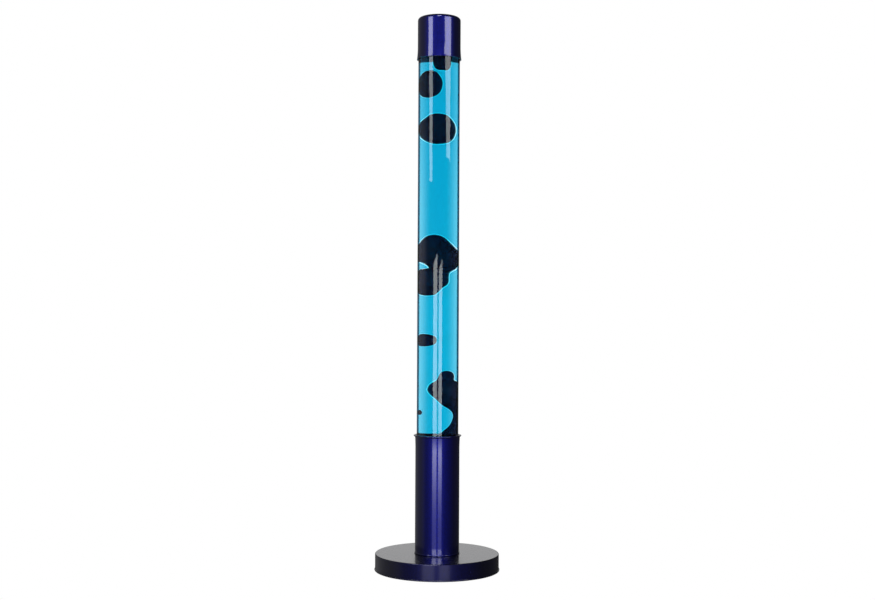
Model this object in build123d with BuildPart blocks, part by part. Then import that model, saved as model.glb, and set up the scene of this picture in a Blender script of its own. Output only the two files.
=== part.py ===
"""Floor-standing lava lamp.

A weighted disc base carries a painted column with a reflector bulb inside. A tall glass bottle of
coloured liquid and wax drops into the column and stands on a seat ring above the bulb. A slip-on
metal cap hides the bottle's closure.

Origin: centre of the feet's underside, on the surface the lamp stands on. +Z up, -Y front,
+Y rear, where the cord gland is. Millimetres.
"""

import os

from build123d import *

os.makedirs("parts", exist_ok=True)

# ---- Driving dimensions -------------------------------------------------------------------------
TOTAL_HEIGHT = 760.0
GAP = 0.3  # clearance between a moving piece and its neighbours
TOUCH = 0.05  # clearance between two flat faces that rest on each other

# Base
BASE_RADIUS = 85.0
BASE_TOP = 24.5
SHEET = 1.2  # pressed steel of the base shell
RIM_CLEARANCE = 1.5  # the shell's rim above the floor
RIM_BEAD = 0.9  # how far the rolled rim stands out
SCREW_HEIGHT = 12.9  # the side screws' height above the floor
SCREW_ANGLES = (-60, 60, 180)
GLAND_HEIGHT = 12.5
GLAND_BORE = 3.3
WELL_RADIUS = 26.0  # open middle of the weight, for the wiring
WEIGHT_RADIUS = 82.3
WEIGHT_BOTTOM = 4.2
WEIGHT_TOP = 19.0
PLATE_THICKNESS = 1.2
PLATE_SCREW_RADIUS = 52.0
PLATE_SCREW_ANGLES = (0, 120, 240)
FOOT_CIRCLE = 68.0
VENT_CIRCLE = 20.0
VENT_RADIUS = 2.5

# Column
COLUMN_RADIUS = 30.3
COLUMN_BORE = 29.5
COLUMN_TOP = 187.0
LIP_RADIUS = 32.75
FLARE_HEIGHT = 20.0  # the column opens slightly over this height below its lip
FLARE = 0.5
TUBE_RADIUS = 4.9  # M10 threaded lamp tube
TUBE_BORE = 4.0

# Lampholder and bulb
HOLDER_BOTTOM = 55.0
HOLDER_RADIUS = 14.2
THREAD_PITCH = 2.822  # small Edison screw, E14
THREAD_TURNS = 5
SOCKET_RADIUS = 7.4
BULB_CAP_RADIUS = 6.95
BULB_BOTTOM = 74.7
BULB_HEAD_RADIUS = 19.5
BULB_LENGTH = 66.0

# Bottle
GLASS_RADIUS = 28.6
GLASS_WALL = 2.5
BOTTLE_BOTTOM = 156.5
GLASS_FLOOR = 4.5
SHOULDER = 719.0  # where the bottle starts to narrow, hidden in the cap
NECK_RADIUS = 12.5
NECK_BORE = 9.5
NECK_START = 736.0
NECK_TOP = 752.0
LIQUID_LEVEL = 728.0
CLOSURE_RADIUS = 15.0
CLOSURE_BOTTOM = 738.0

# Cap
CAP_RADIUS = 29.53
CAP_SHEET = 0.58
CAP_RIM = 702.5
CAP_FLARE_START = 721.0
CAP_FLARE_ARC = 160.0
CAP_EDGE = 4.5

# Wax: each blob is one or more spheroids, given as ((x, y, z), radius, half_height)
WAX_BLOBS = {
    "wax_crown": [((4.1, 0, 704.0), 10.3, 18.3)],
    "wax_upper": [((-9.3, 0, 667.7), 13.75, 19.1)],
    "wax_middle": [((-1.5, 0, 606.2), 20.4, 21.4)],
    "wax_pair": [
        ((0.2, 0, 436.2), 25.0, 25.4),
        ((-7.0, 0, 395.6), 18.6, 18.6),
    ],
    "wax_small": [((-12.8, 0, 317.3), 12.2, 9.5)],
    "wax_droplet": [((-19.0, 0, 218.0), 4.1, 4.2)],
}
WAX_RISING = [
    ((9.2, 0, 266.0), 8.8, 10.0),
    ((6.5, 0, 247.0), 18.2, 15.0),
    ((13.0, 0, 235.0), 11.0, 15.0),
    ((19.3, 0, 222.0), 6.3, 22.0),
    ((15.5, 0, 192.0), 9.5, 18.0),
]
POOL_TOP = 181.0
COIL_RADIUS = 17.0
COIL_WIRE = 0.8
COIL_PITCH = 3.6
COIL_TURNS = 3

# ---- Worked-out sizes ---------------------------------------------------------------------------
SHELL_BORE = BASE_RADIUS - SHEET
SHELL_CEILING = BASE_TOP - SHEET
PLATE_BOTTOM = WEIGHT_BOTTOM - PLATE_THICKNESS
INNER_GLASS = GLASS_RADIUS - GLASS_WALL
INNER_BOTTOM = BOTTLE_BOTTOM + GLASS_FLOOR
BULB_TOP = BULB_BOTTOM + BULB_LENGTH
QUARTER = 0.5523  # handle length of the Bezier curve that draws a quarter of a unit circle


def save(builder, name):
    """Labels a finished piece and writes it as its own STEP file."""
    builder.part.label = name
    export_step(builder.part, f"parts/{name}.step")


def side_plane(angle, radius, height):
    """A plane facing straight out of the base at an angle round it."""
    outward = Vector(1, 0, 0).rotate(Axis.Z, angle)
    return Plane(origin=outward * radius + Vector(0, 0, height), x_dir=(0, 0, 1), z_dir=outward)


def turned(points):
    """Turns a closed outline of (radius, height) points about the lamp's axis."""
    with BuildSketch(Plane.XZ) as half:
        with BuildLine():
            Polyline(*points, close=True)
        make_face()
    revolve(half.sketch, axis=Axis.Z)


def ring(inner, outer, bottom, top, mode=Mode.ADD):
    """A plain ring or, with no inner radius, a disc, square to the lamp's axis."""
    with BuildSketch(Plane.XY.offset(bottom)) as face:
        Circle(outer)
        if inner:
            Circle(inner, mode=Mode.SUBTRACT)
    extrude(face.sketch, amount=top - bottom, mode=mode)


def spheroid(centre, radius, half_height, extra=0.0, mode=Mode.ADD):
    """A ball of wax drawn out or flattened along Z."""
    upright = Plane(origin=centre, x_dir=(1, 0, 0), z_dir=(0, -1, 0))
    reach = half_height + extra
    girth = radius + extra
    with BuildSketch(upright) as half:
        with BuildLine():
            side = (girth, 0)
            Bezier((0, -reach), (QUARTER * girth, -reach), (girth, -QUARTER * reach), side)
            Bezier(side, (girth, QUARTER * reach), (QUARTER * girth, reach), (0, reach))
            Line((0, reach), (0, -reach))
        make_face()
    revolve(half.sketch, axis=Axis(centre, (0, 0, 1)), mode=mode)


# ---- Base ---------------------------------------------------------------------------------------
with BuildPart() as base_shell:
    with BuildSketch(Plane.XZ):
        with BuildLine():
            bead_low = (BASE_RADIUS, RIM_CLEARANCE)
            bead_out = (BASE_RADIUS + RIM_BEAD, RIM_CLEARANCE + RIM_BEAD)
            bead_high = (BASE_RADIUS, RIM_CLEARANCE + 2.4 * RIM_BEAD)
            Line((SHELL_BORE, RIM_CLEARANCE), bead_low)
            ThreePointArc(bead_low, bead_out, bead_high)
            Polyline(
                bead_high,
                (BASE_RADIUS, BASE_TOP),
                (TUBE_RADIUS + 0.3, BASE_TOP),
                (TUBE_RADIUS + 0.3, SHELL_CEILING),
                (SHELL_BORE, SHELL_CEILING),
                (SHELL_BORE, RIM_CLEARANCE),
            )
        make_face()
    revolve(axis=Axis.Z)
    top_edges = base_shell.edges().filter_by(GeomType.CIRCLE).group_by(Axis.Z)[-1]
    fillet(top_edges.sort_by(SortBy.RADIUS)[-1], radius=1.1)
    for angle in SCREW_ANGLES:
        with BuildSketch(side_plane(angle, SHELL_BORE - 1, SCREW_HEIGHT)):
            Circle(1.7)
        extrude(amount=SHEET + 2, mode=Mode.SUBTRACT)
        with BuildSketch(side_plane(angle, BASE_RADIUS - 1.1, SCREW_HEIGHT)):
            Circle(1.7)
        extrude(amount=1.4, taper=-40, mode=Mode.SUBTRACT)
    with BuildSketch(side_plane(90, SHELL_BORE - 2, GLAND_HEIGHT)):
        Circle(6.2)
    extrude(amount=SHEET + 4, mode=Mode.SUBTRACT)
    with BuildSketch(Plane.XY.offset(SHELL_CEILING)):
        with PolarLocations(VENT_CIRCLE, 6):
            Circle(VENT_RADIUS)
    extrude(amount=SHEET, mode=Mode.SUBTRACT)
save(base_shell, "base_shell")

with BuildPart() as base_weight:
    ring(WELL_RADIUS, WEIGHT_RADIUS, WEIGHT_BOTTOM, WEIGHT_TOP)
    chamfer(base_weight.edges().filter_by(GeomType.CIRCLE), length=1.0)
    with BuildSketch(Plane.XY.offset(WEIGHT_BOTTOM)):
        with Locations((0, WEIGHT_RADIUS / 2 + 10)):
            Rectangle(17, WEIGHT_RADIUS)
    extrude(amount=WEIGHT_TOP - WEIGHT_BOTTOM, mode=Mode.SUBTRACT)
    for angle in SCREW_ANGLES:
        with BuildSketch(side_plane(angle, WEIGHT_RADIUS - 8, SCREW_HEIGHT)):
            Circle(1.5)
        extrude(amount=10, mode=Mode.SUBTRACT)
    with BuildSketch(Plane.XY.offset(WEIGHT_BOTTOM)):
        for angle in PLATE_SCREW_ANGLES:
            with PolarLocations(PLATE_SCREW_RADIUS, 1, start_angle=angle):
                Circle(1.6)
    extrude(amount=9, mode=Mode.SUBTRACT)
save(base_weight, "base_weight")

with BuildPart() as bottom_plate:
    ring(0, SHELL_BORE - 0.4, PLATE_BOTTOM, WEIGHT_BOTTOM)
    with BuildSketch(Plane.XY.offset(PLATE_BOTTOM)):
        with PolarLocations(VENT_CIRCLE - 2, 10, start_angle=18):
            SlotOverall(11, 3.6)
        for angle in PLATE_SCREW_ANGLES:
            with PolarLocations(PLATE_SCREW_RADIUS, 1, start_angle=angle):
                Circle(1.7)
    extrude(amount=PLATE_THICKNESS, mode=Mode.SUBTRACT)
save(bottom_plate, "bottom_plate")

with BuildPart() as bottom_plate_screws:
    for angle in PLATE_SCREW_ANGLES:
        with BuildSketch(Plane.XY.offset(PLATE_BOTTOM - 1.6)):
            with PolarLocations(PLATE_SCREW_RADIUS, 1, start_angle=angle):
                Circle(3.0)
        extrude(amount=1.6)
        with BuildSketch(Plane.XY.offset(PLATE_BOTTOM)):
            with PolarLocations(PLATE_SCREW_RADIUS, 1, start_angle=angle):
                Circle(1.5)
        extrude(amount=9)
        with BuildSketch(Plane.XY.offset(PLATE_BOTTOM - 1.6)):
            with PolarLocations(PLATE_SCREW_RADIUS, 1, start_angle=angle):
                Rectangle(3.6, 0.8)
                Rectangle(0.8, 3.6)
        extrude(amount=0.8, mode=Mode.SUBTRACT)
save(bottom_plate_screws, "bottom_plate_screws")

with BuildPart() as shell_screws:
    for angle in SCREW_ANGLES:
        with BuildSketch(side_plane(angle, WEIGHT_RADIUS - 7, SCREW_HEIGHT)):
            Circle(1.45)
        extrude(amount=BASE_RADIUS - 1.1 - WEIGHT_RADIUS + 7)
        with BuildSketch(side_plane(angle, BASE_RADIUS - 1.1, SCREW_HEIGHT)):
            Circle(1.6)
        extrude(amount=0.9, taper=-40)
        with BuildSketch(side_plane(angle, BASE_RADIUS - 0.8, SCREW_HEIGHT)):
            Rectangle(2.6, 0.6)
            Rectangle(0.6, 2.6)
        extrude(amount=1.0, mode=Mode.SUBTRACT)
save(shell_screws, "shell_screws")

for number in range(4):
    with BuildPart() as foot:
        with BuildSketch(Plane.XY):
            with PolarLocations(FOOT_CIRCLE, 1, start_angle=45 + 90 * number):
                Circle(8.0)
        extrude(amount=PLATE_BOTTOM)
        chamfer(foot.edges().group_by(Axis.Z)[0], length=0.6)
    save(foot, f"foot_{number + 1}")

# ---- Mains entry and wiring ---------------------------------------------------------------------
GLAND_INNER = 70.0
GLAND_OUTER = 88.5

with BuildPart() as cord_gland:
    with BuildSketch(side_plane(90, GLAND_INNER, GLAND_HEIGHT)):
        Circle(6.1)
    extrude(amount=GLAND_OUTER - GLAND_INNER)
    with BuildSketch(side_plane(90, BASE_RADIUS, GLAND_HEIGHT)):
        Circle(8.5)
    extrude(amount=GLAND_OUTER - BASE_RADIUS, taper=20)
    with BuildSketch(side_plane(90, SHELL_BORE - 2.2, GLAND_HEIGHT)):
        Circle(7.4)
    extrude(amount=1.6)
    with BuildSketch(side_plane(90, GLAND_INNER, GLAND_HEIGHT)):
        Circle(GLAND_BORE)
    extrude(amount=GLAND_OUTER - GLAND_INNER, mode=Mode.SUBTRACT)
save(cord_gland, "cord_gland")

BLOCK_X = 13.0
BLOCK_FRONT = 7.0
BLOCK_REAR = 20.0
BLOCK_TOP = 14.0
POLE_PITCH = 8.0
LEAD_RADIUS = 0.9
LEAD_HEIGHT = 8.5

with BuildPart() as terminal_block:
    block_middle = (BLOCK_FRONT + BLOCK_REAR) / 2
    with BuildSketch(Plane.XY.offset(WEIGHT_BOTTOM)):
        with Locations((0, block_middle)):
            RectangleRounded(2 * BLOCK_X, BLOCK_REAR - BLOCK_FRONT, 1.5)
    extrude(amount=BLOCK_TOP - WEIGHT_BOTTOM)
    with BuildSketch(Plane.XY.offset(WEIGHT_BOTTOM + 6)):
        with Locations((-POLE_PITCH, block_middle), (0, block_middle), (POLE_PITCH, block_middle)):
            Circle(1.9)
    extrude(amount=BLOCK_TOP, mode=Mode.SUBTRACT)
    with BuildSketch(Plane.XZ.offset(-BLOCK_REAR)):
        with Locations((-POLE_PITCH, LEAD_HEIGHT), (0, LEAD_HEIGHT), (POLE_PITCH, LEAD_HEIGHT)):
            Circle(1.3)
    extrude(amount=BLOCK_REAR - BLOCK_FRONT, mode=Mode.SUBTRACT)
save(terminal_block, "terminal_block")

with BuildPart() as terminal_screws:
    with BuildSketch(Plane.XY.offset(WEIGHT_BOTTOM + 6.4)):
        with Locations((-POLE_PITCH, block_middle), (0, block_middle), (POLE_PITCH, block_middle)):
            Circle(1.7)
    extrude(amount=2.6)
    with BuildSketch(Plane.XY.offset(WEIGHT_BOTTOM + 8.4)):
        with Locations((-POLE_PITCH, block_middle), (0, block_middle), (POLE_PITCH, block_middle)):
            Rectangle(3.6, 0.6)
    extrude(amount=2, mode=Mode.SUBTRACT)
save(terminal_screws, "terminal_screws")

LEAD_OFFSET = 2.0  # the live and neutral leads, either side of the tube's axis
LEAD_TOP = HOLDER_BOTTOM + 12

for name, side in (("live_lead", 1), ("neutral_lead", -1)):
    with BuildPart() as lead:
        with BuildLine() as route:
            FilletPolyline(
                (side * POLE_PITCH, BLOCK_FRONT + 4, LEAD_HEIGHT),
                (side * (POLE_PITCH - 0.8), 0.6, LEAD_HEIGHT),
                (side * LEAD_OFFSET, 0, LEAD_HEIGHT),
                (side * LEAD_OFFSET, 0, LEAD_TOP),
                radius=2.3,
            )
        with BuildSketch(Plane(origin=route.line @ 0, z_dir=route.line % 0)):
            Circle(LEAD_RADIUS)
        sweep()
    save(lead, name)

EARTH_SCREW_Y = -16.0

with BuildPart() as earth_lead:
    with BuildLine() as earth_route:
        FilletPolyline(
            (0, BLOCK_FRONT + 4, LEAD_HEIGHT),
            (0, BLOCK_FRONT - 3, LEAD_HEIGHT),
            (0, -4, LEAD_HEIGHT - 2.2),
            (0, EARTH_SCREW_Y + 3.4, WEIGHT_BOTTOM + LEAD_RADIUS + 0.5),
            radius=8,
        )
    with BuildSketch(Plane(origin=earth_route.line @ 0, z_dir=earth_route.line % 0)):
        Circle(LEAD_RADIUS)
    sweep()
save(earth_lead, "earth_lead")

with BuildPart() as earth_screw:
    with BuildSketch(Plane.XY.offset(WEIGHT_BOTTOM)):
        with Locations((0, EARTH_SCREW_Y)):
            Circle(3.3)
    extrude(amount=3.0)
    with BuildSketch(Plane.XY.offset(WEIGHT_BOTTOM + 2.2)):
        with Locations((0, EARTH_SCREW_Y)):
            Rectangle(4, 0.8)
            Rectangle(0.8, 4)
    extrude(amount=2, mode=Mode.SUBTRACT)
save(earth_screw, "earth_screw")

# ---- Column -------------------------------------------------------------------------------------
FOOT_BEAD = 0.8  # the rolled foot of the column stands out this far
FOOT_BEAD_TOP = BASE_TOP + 2.2
FLANGE_TOP = BASE_TOP + 1.0

with BuildPart() as column:
    with BuildSketch(Plane.XZ):
        with BuildLine():
            foot_low = (COLUMN_RADIUS + 0.1, BASE_TOP)
            foot_high = (COLUMN_RADIUS + 0.1, FOOT_BEAD_TOP)
            ThreePointArc(
                foot_low, (COLUMN_RADIUS + FOOT_BEAD, (BASE_TOP + FOOT_BEAD_TOP) / 2), foot_high
            )
            flare_low = (COLUMN_RADIUS, COLUMN_TOP - FLARE_HEIGHT)
            flare_high = (COLUMN_RADIUS + FLARE, COLUMN_TOP - 2.6)
            Line(foot_high, flare_low)
            TangentArc(flare_low, flare_high, tangent=(0, 1))
            lip_under = (LIP_RADIUS - 0.9, COLUMN_TOP - 1.9)
            lip_over = (LIP_RADIUS - 0.9, COLUMN_TOP)
            Line(flare_high, lip_under)
            ThreePointArc(lip_under, (LIP_RADIUS, COLUMN_TOP - 0.95), lip_over)
            mouth = (COLUMN_BORE, COLUMN_TOP - 0.9)
            Line(lip_over, (COLUMN_BORE + 0.9, COLUMN_TOP))
            RadiusArc((COLUMN_BORE + 0.9, COLUMN_TOP), mouth, -0.9)
            Polyline(
                mouth,
                (COLUMN_BORE, FLANGE_TOP),
                (COLUMN_BORE - 2.5, FLANGE_TOP),
                (COLUMN_BORE - 2.5, BASE_TOP),
                foot_low,
            )
        make_face()
    revolve(axis=Axis.Z)
save(column, "column")

with BuildPart() as column_floor_plate:
    ring(TUBE_RADIUS + 0.3, COLUMN_BORE - GAP, FLANGE_TOP, FLANGE_TOP + 1.5)
    with BuildSketch(Plane.XY.offset(FLANGE_TOP)):
        with PolarLocations(VENT_CIRCLE, 6):
            Circle(VENT_RADIUS)
    extrude(amount=1.5, mode=Mode.SUBTRACT)
save(column_floor_plate, "column_floor_plate")

FLOOR_TOP = FLANGE_TOP + 1.5
TUBE_BOTTOM = 15.0
WASHER = 1.0
NUT_HEIGHT = 3.0
NUT_ACROSS_FLATS = 14.0

with BuildPart() as threaded_tube:
    ring(TUBE_BORE, TUBE_RADIUS, TUBE_BOTTOM, HOLDER_BOTTOM + 7)
    chamfer(threaded_tube.edges().sort_by(Axis.Z)[-2:], length=0.4)
save(threaded_tube, "threaded_tube")

for name, bottom in (
    ("lower_nut", SHELL_CEILING - WASHER - NUT_HEIGHT),
    ("upper_nut", FLOOR_TOP + WASHER),
):
    with BuildPart() as nut:
        with BuildSketch(Plane.XY.offset(bottom)):
            RegularPolygon(NUT_ACROSS_FLATS / 2, 6, major_radius=False)
            Circle(TUBE_RADIUS + TOUCH, mode=Mode.SUBTRACT)
        extrude(amount=NUT_HEIGHT)
    save(nut, name)

for name, bottom in (("lower_washer", SHELL_CEILING - WASHER), ("upper_washer", FLOOR_TOP)):
    with BuildPart() as washer:
        ring(TUBE_RADIUS + 0.2, 9.0, bottom, bottom + WASHER)
    save(washer, name)

# ---- Lampholder ---------------------------------------------------------------------------------
HOLDER_SPLIT = HOLDER_BOTTOM + 20
INSERT_BOTTOM = HOLDER_BOTTOM + 10
INSERT_TOP = HOLDER_SPLIT - 2
SOCKET_TOP = INSERT_TOP + 16
SKIRT_TOP = SOCKET_TOP + 5

with BuildPart() as lampholder_base:
    turned(
        [
            (TUBE_RADIUS + TOUCH, HOLDER_BOTTOM),
            (8.0, HOLDER_BOTTOM),
            (8.5, HOLDER_BOTTOM + 5),
            (HOLDER_RADIUS, HOLDER_BOTTOM + 9),
            (HOLDER_RADIUS, HOLDER_SPLIT),
            (HOLDER_RADIUS - 1.8, HOLDER_SPLIT),
            (HOLDER_RADIUS - 1.8, INSERT_BOTTOM),
            (7.5, HOLDER_BOTTOM + 7.5),
            (TUBE_RADIUS + TOUCH, HOLDER_BOTTOM + 7.5),
        ]
    )
save(lampholder_base, "lampholder_base")

with BuildPart() as lampholder_insert:
    ring(0, HOLDER_RADIUS - 2.0, INSERT_BOTTOM, INSERT_TOP)
    with BuildSketch(Plane.XY.offset(INSERT_BOTTOM)):
        with Locations((LEAD_OFFSET, 0), (-LEAD_OFFSET, 0)):
            Circle(1.1)
    extrude(amount=3, mode=Mode.SUBTRACT)
    ring(8.2, HOLDER_RADIUS - 2.0, INSERT_TOP, INSERT_TOP + 3)
save(lampholder_insert, "lampholder_insert")

with BuildPart() as lampholder_screw_shell:
    ring(SOCKET_RADIUS, SOCKET_RADIUS + 0.5, INSERT_TOP, SOCKET_TOP)
    ring(5.0, SOCKET_RADIUS + 0.5, INSERT_TOP, INSERT_TOP + 0.5)
save(lampholder_screw_shell, "lampholder_screw_shell")

with BuildPart() as lampholder_contact:
    with BuildSketch(Plane.XZ.offset(-2)):
        with BuildLine():
            Polyline(
                (-4.5, INSERT_TOP + 0.6),
                (-3.0, INSERT_TOP + 0.6),
                (0, INSERT_TOP + 1.2),
                (2.4, INSERT_TOP + 1.2),
                (2.4, INSERT_TOP + 1.6),
                (-0.1, INSERT_TOP + 1.6),
                (-3.1, INSERT_TOP + 1.0),
                (-4.5, INSERT_TOP + 1.0),
                close=True,
            )
        make_face()
    extrude(amount=4)
    with BuildSketch(Plane.XY.offset(INSERT_TOP)):
        with Locations((-3.7, 0)):
            Circle(0.7)
    extrude(amount=0.6)
save(lampholder_contact, "lampholder_contact")

with BuildPart() as lampholder_skirt:
    ring(HOLDER_RADIUS - 1.8, HOLDER_RADIUS, HOLDER_SPLIT, SKIRT_TOP)
    ring(10.0, HOLDER_RADIUS, SKIRT_TOP - 2, SKIRT_TOP)
    skirt_edges = lampholder_skirt.edges().filter_by(GeomType.CIRCLE).group_by(Axis.Z)[-1]
    fillet(skirt_edges.sort_by(SortBy.RADIUS)[-1], radius=1.2)
save(lampholder_skirt, "lampholder_skirt")

# ---- Bulb ---------------------------------------------------------------------------------------
TIP_TOP = BULB_BOTTOM + 1.3
CAP_BOTTOM = TIP_TOP + 2.8
CAP_SHELL_TOP = CAP_BOTTOM + 17.0
THREAD_DEPTH = 0.6
BULB_WALL = 0.7

with BuildPart() as bulb_tip:
    ring(0, 2.3, BULB_BOTTOM, TIP_TOP)
    fillet(bulb_tip.edges().group_by(Axis.Z)[0], radius=0.9)
save(bulb_tip, "bulb_tip")

with BuildPart() as bulb_insulator:
    turned(
        [
            (0, TIP_TOP + TOUCH),
            (2.6, TIP_TOP + TOUCH),
            (5.9, CAP_BOTTOM),
            (5.9, CAP_BOTTOM + 1),
            (0, CAP_BOTTOM + 1),
        ]
    )
save(bulb_insulator, "bulb_insulator")

with BuildPart() as bulb_cap:
    with BuildSketch(Plane.XZ):
        root = BULB_CAP_RADIUS - THREAD_DEPTH
        first_ridge = CAP_BOTTOM + 0.8
        with BuildLine():
            Line((root - 0.4, CAP_BOTTOM), (root, first_ridge))
            for turn in range(THREAD_TURNS):
                low = first_ridge + turn * THREAD_PITCH
                ThreePointArc(
                    (root, low),
                    (BULB_CAP_RADIUS, low + THREAD_PITCH / 2),
                    (root, low + THREAD_PITCH),
                )
            ridge_end = first_ridge + THREAD_TURNS * THREAD_PITCH
            Polyline(
                (root, ridge_end),
                (7.6, CAP_SHELL_TOP),
                (7.3, CAP_SHELL_TOP),
                (root - 0.4, ridge_end),
                (root - 0.4, CAP_BOTTOM),
            )
        make_face()
    revolve(axis=Axis.Z)
save(bulb_cap, "bulb_cap")

# The envelope's outline, bottom to top; the same curve, moved in, makes its hollow and its mirror.
ENVELOPE_BOTTOM = CAP_SHELL_TOP - 1.5
ENVELOPE_WAIST = CAP_SHELL_TOP + 4
ENVELOPE_SHOULDER = BULB_TOP - 16
ENVELOPE_WIDEST = BULB_TOP - 9


def envelope_half(inset, bottom, top):
    """The half section of the bulb's glass, moved in by inset and cut off at two heights."""
    with BuildSketch(Plane.XZ) as half:
        with BuildLine():
            neck = (6.2 - inset, ENVELOPE_BOTTOM)
            waist = (8.0 - inset, ENVELOPE_WAIST)
            shoulder = (17.3 - inset, ENVELOPE_SHOULDER)
            widest = (BULB_HEAD_RADIUS - inset, ENVELOPE_WIDEST)
            crown = (0, BULB_TOP - inset)
            side_handle = (widest[0], ENVELOPE_WIDEST + QUARTER * (crown[1] - ENVELOPE_WIDEST))
            crown_handle = (QUARTER * widest[0], crown[1])
            Polyline((0, ENVELOPE_BOTTOM), neck, waist, shoulder)
            Spline(shoulder, widest, tangents=[(9.3, ENVELOPE_SHOULDER - ENVELOPE_WAIST), (0, 1)])
            Bezier(widest, side_handle, crown_handle, crown)
            Line(crown, (0, ENVELOPE_BOTTOM))
        make_face()
        with Locations((BULB_HEAD_RADIUS, (bottom + top) / 2)):
            Rectangle(4 * BULB_HEAD_RADIUS, top - bottom, mode=Mode.INTERSECT)
    return half.sketch


glass_outside = envelope_half(0, ENVELOPE_BOTTOM, BULB_TOP)
glass_inside = envelope_half(BULB_WALL, ENVELOPE_BOTTOM, BULB_TOP)

with BuildPart() as bulb_envelope:
    revolve(glass_outside - glass_inside, axis=Axis.Z)
save(bulb_envelope, "bulb_envelope")

MIRROR = 0.2
mirror_back = envelope_half(BULB_WALL + TOUCH, ENVELOPE_WAIST, ENVELOPE_WIDEST)
mirror_face = envelope_half(BULB_WALL + TOUCH + MIRROR, ENVELOPE_WAIST, ENVELOPE_WIDEST)

with BuildPart() as bulb_reflector:
    revolve(mirror_back - mirror_face, axis=Axis.Z)
save(bulb_reflector, "bulb_reflector")

STEM_TOP = ENVELOPE_WAIST + 8

with BuildPart() as bulb_stem:
    turned(
        [
            (0, ENVELOPE_BOTTOM),
            (5.4, ENVELOPE_BOTTOM),
            (5.4, ENVELOPE_BOTTOM + 1),
            (2.6, ENVELOPE_BOTTOM + 5),
            (2.6, STEM_TOP),
            (0, STEM_TOP),
        ]
    )
save(bulb_stem, "bulb_stem")

WIRE = 0.25
FILAMENT_HALF = 5.0
FILAMENT_HEIGHT = STEM_TOP + 11

with BuildPart() as bulb_filament:
    with BuildLine() as filament_line:
        FilletPolyline(
            (1.6, 0, STEM_TOP + TOUCH),
            (FILAMENT_HALF, 0, FILAMENT_HEIGHT),
            (-FILAMENT_HALF, 0, FILAMENT_HEIGHT),
            (-1.6, 0, STEM_TOP + TOUCH),
            radius=1.0,
        )
    with BuildSketch(Plane(origin=filament_line.line @ 0, z_dir=filament_line.line % 0)):
        Circle(WIRE)
    sweep()
save(bulb_filament, "bulb_filament")

# ---- Bottle seat in the column ------------------------------------------------------------------
SEAT_TOP = BOTTLE_BOTTOM - TOUCH - 0.8

with BuildPart() as bottle_seat:
    turned(
        [
            (23.5, SEAT_TOP - 1),
            (28.3, SEAT_TOP - 1),
            (28.3, SEAT_TOP - 7),
            (COLUMN_BORE, SEAT_TOP - 7),
            (COLUMN_BORE, SEAT_TOP),
            (23.5, SEAT_TOP),
        ]
    )
save(bottle_seat, "bottle_seat")

with BuildPart() as seat_pad:
    ring(24.0, GLASS_RADIUS - 1, SEAT_TOP, BOTTLE_BOTTOM - TOUCH)
save(seat_pad, "seat_pad")

with BuildPart() as lip_sleeve:
    ring(GLASS_RADIUS + GAP, COLUMN_BORE, COLUMN_TOP - 14, COLUMN_TOP - 1.2)
save(lip_sleeve, "lip_sleeve")

# ---- Bottle -------------------------------------------------------------------------------------
PUNT_RADIUS = 14.0
PUNT_DEPTH = 1.6


def bottle_inside(bottom, top):
    """The half section of the space inside the bottle between two heights."""
    with BuildSketch(Plane.XZ) as half:
        with BuildLine():
            floor_edge = (INNER_GLASS - 4, INNER_BOTTOM)
            wall_low = (INNER_GLASS, INNER_BOTTOM + 4)
            wall_high = (INNER_GLASS, SHOULDER)
            neck_low = (NECK_BORE, NECK_START - 1)
            bend = ((INNER_GLASS + NECK_BORE) / 2, (SHOULDER + NECK_START - 1) / 2)
            Line((0, INNER_BOTTOM), floor_edge)
            RadiusArc(floor_edge, wall_low, -4)
            Line(wall_low, wall_high)
            Spline(wall_high, bend, neck_low, tangents=[(0, 1), (0, 1)])
            Polyline(neck_low, (NECK_BORE, NECK_TOP), (0, NECK_TOP), (0, INNER_BOTTOM))
        make_face()
        with Locations((0, (bottom + top) / 2)):
            Rectangle(4 * GLASS_RADIUS, top - bottom, mode=Mode.INTERSECT)
    return half.sketch


with BuildPart() as bottle:
    with BuildSketch(Plane.XZ):
        with BuildLine():
            punt_top = (0, BOTTLE_BOTTOM + PUNT_DEPTH)
            punt_edge = (PUNT_RADIUS, BOTTLE_BOTTOM)
            TangentArc(punt_top, punt_edge, tangent=(1, 0))
            heel_in = (GLASS_RADIUS - 4, BOTTLE_BOTTOM)
            heel_out = (GLASS_RADIUS, BOTTLE_BOTTOM + 4)
            Line(punt_edge, heel_in)
            RadiusArc(heel_in, heel_out, -4)
            outer_high = (GLASS_RADIUS, SHOULDER + 1)
            outer_neck = (NECK_RADIUS, NECK_START)
            Line(heel_out, outer_high)
            outer_middle = ((GLASS_RADIUS + NECK_RADIUS) / 2, (SHOULDER + 1 + NECK_START) / 2)
            Spline(outer_high, outer_middle, outer_neck, tangents=[(0, 1), (0, 1)])
            Polyline(outer_neck, (NECK_RADIUS, NECK_TOP), (0, NECK_TOP), punt_top)
        make_face()
    revolve(axis=Axis.Z)
    revolve(bottle_inside(INNER_BOTTOM, NECK_TOP), axis=Axis.Z, mode=Mode.SUBTRACT)
save(bottle, "bottle")

with BuildPart() as closure:
    ring(NECK_RADIUS + 0.4, CLOSURE_RADIUS, CLOSURE_BOTTOM, NECK_TOP + 3.3)
    ring(0, CLOSURE_RADIUS, NECK_TOP + 2.5, NECK_TOP + 3.3)
    closure_edges = closure.edges().filter_by(GeomType.CIRCLE).group_by(Axis.Z)[-1]
    fillet(closure_edges.sort_by(SortBy.RADIUS)[-1], radius=0.7)
save(closure, "closure")

with BuildPart() as closure_liner:
    ring(0, NECK_RADIUS + 0.3, NECK_TOP, NECK_TOP + 2.5)
save(closure_liner, "closure_liner")

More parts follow.
